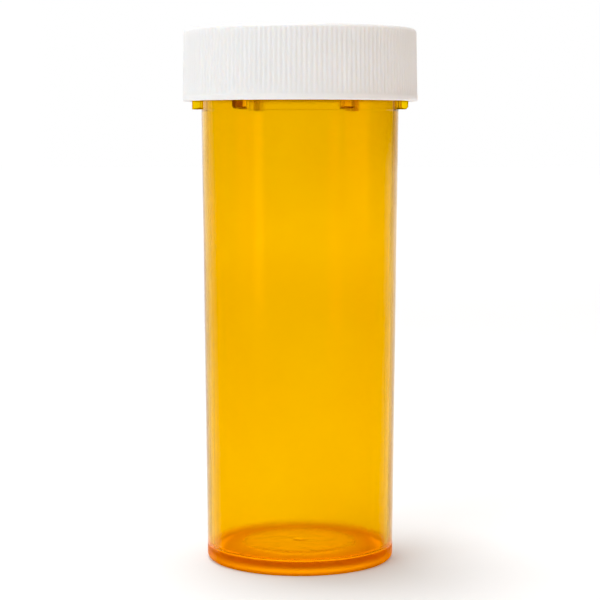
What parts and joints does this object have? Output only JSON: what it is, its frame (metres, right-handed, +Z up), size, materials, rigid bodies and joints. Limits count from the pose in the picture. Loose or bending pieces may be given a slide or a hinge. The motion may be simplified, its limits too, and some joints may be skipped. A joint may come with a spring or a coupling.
{
  "type": "prescription vial",
  "caption": "Tapered amber push-and-turn medicine vial with bayonet lugs and a ribbed white child-resistant closure holding a sprung plug liner.",
  "frame": {"origin": "centre of the foot, on the surface that the vial stands on", "axes": "+Z up the vial's axis to the cap, -Y the front, +X to the right seen from the front"},
  "size_m": [0.048, 0.048, 0.1089],
  "materials": {
    "amber_polypropylene": "smooth, translucent amber",
    "white_polypropylene": "fine matte white",
    "natural_polyethylene": "waxy, milky, slightly translucent"
  },
  "bodies": {
    "vial": {"vial": "amber_polypropylene"},
    "liner": {"liner": "natural_polyethylene"},
    "cap": {"cap": "white_polypropylene"}
  },
  "joints": [
    {"name": "closure_lift", "type": "slide", "parent": "vial", "child": "liner", "axis": [0, 0, 1], "range_m": [0, 0.04]},
    {"name": "cap_press", "type": "slide", "parent": "liner", "child": "cap", "axis": [0, 0, 1], "range_m": [-0.0015, 0], "stiffness_N_per_m": 15000, "deforming": ["liner"]}
  ]
}
